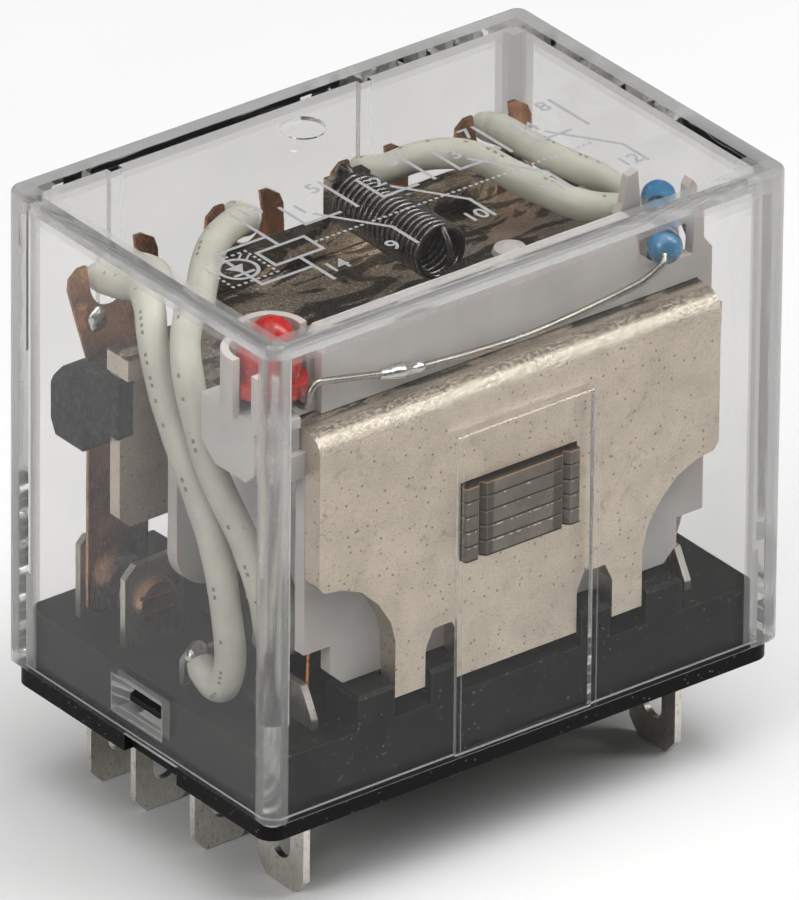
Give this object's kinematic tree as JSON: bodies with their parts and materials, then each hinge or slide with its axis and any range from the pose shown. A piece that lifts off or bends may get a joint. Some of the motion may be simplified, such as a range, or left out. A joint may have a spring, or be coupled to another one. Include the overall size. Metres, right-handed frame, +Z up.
{
  "type": "plug in relay",
  "caption": "Box shaped plug in relay with flat blades below, clear cover, visible magnet, hinged armature, contact springs and a small indicator lamp.",
  "frame": {"origin": "centre of the flange underside, which seats on the socket", "axes": "+X to the right along the long front face, +Y to the back, +Z up"},
  "size_m": [0.0412, 0.0276, 0.0425],
  "materials": {
    "black_moulding": "matte",
    "clear_moulding": "gloss",
    "contact_metal": "satin",
    "plated_steel": "satin",
    "copper": "satin",
    "nylon": "satin",
    "magnet_wire": "gloss",
    "cloth_tape": "matte",
    "lamp_red": "gloss",
    "tinned_wire": "satin",
    "resistor_blue": "gloss",
    "solder": "gloss",
    "spring_steel": "satin",
    "card_black": "matte",
    "tinned_brass": "satin",
    "core_steel": "satin",
    "wire_sleeve": "satin"
  },
  "bodies": {
    "relay_frame": {"base": "black_moulding", "cover": "clear_moulding", "nc_terminal_1": "tinned_brass", "nc_terminal_2": "tinned_brass", "nc_terminal_3": "tinned_brass", "nc_terminal_4": "tinned_brass", "no_terminal_5": "tinned_brass", "no_terminal_6": "tinned_brass", "no_terminal_7": "tinned_brass", "no_terminal_8": "tinned_brass", "com_terminal_9": "tinned_brass", "com_terminal_10": "tinned_brass", "com_terminal_11": "tinned_brass", "com_terminal_12": "tinned_brass", "coil_terminal_13": "tinned_brass", "coil_terminal_14": "tinned_brass", "nc_contacts": "contact_metal", "no_contacts": "contact_metal", "yoke": "plated_steel", "core_sheet_1": "core_steel", "core_sheet_2": "core_steel", "core_sheet_3": "core_steel", "core_sheet_4": "core_steel", "core_sheet_5": "core_steel", "shading_ring": "copper", "bobbin": "nylon", "coil_winding": "magnet_wire", "coil_tape": "cloth_tape", "coil_ends": "magnet_wire", "led": "lamp_red", "led_legs": "tinned_wire", "resistor": "resistor_blue", "resistor_leads": "tinned_wire", "lead_joint": "solder", "com_solder": "solder", "lead_wire_1": "wire_sleeve", "lead_wire_2": "wire_sleeve", "lead_wire_3": "wire_sleeve", "lead_wire_4": "wire_sleeve", "return_spring": "spring_steel"},
    "armature_unit": {"armature": "plated_steel", "armature_card": "card_black", "moving_spring_1": "copper", "moving_spring_2": "copper", "moving_spring_3": "copper", "moving_spring_4": "copper", "moving_contacts": "contact_metal", "flag_solder": "solder"}
  },
  "joints": [
    {"name": "armature_hinge", "type": "hinge", "parent": "relay_frame", "child": "armature_unit", "pos_m": [0, 0.00465, 0.026], "axis": [-1, 0, 0], "range_deg": [0, 3.7], "stiffness_Nm_per_rad": 0.05, "springref_deg": -8.59, "deforming": ["return_spring", "lead_wire_1", "lead_wire_2", "lead_wire_3", "lead_wire_4"]}
  ]
}
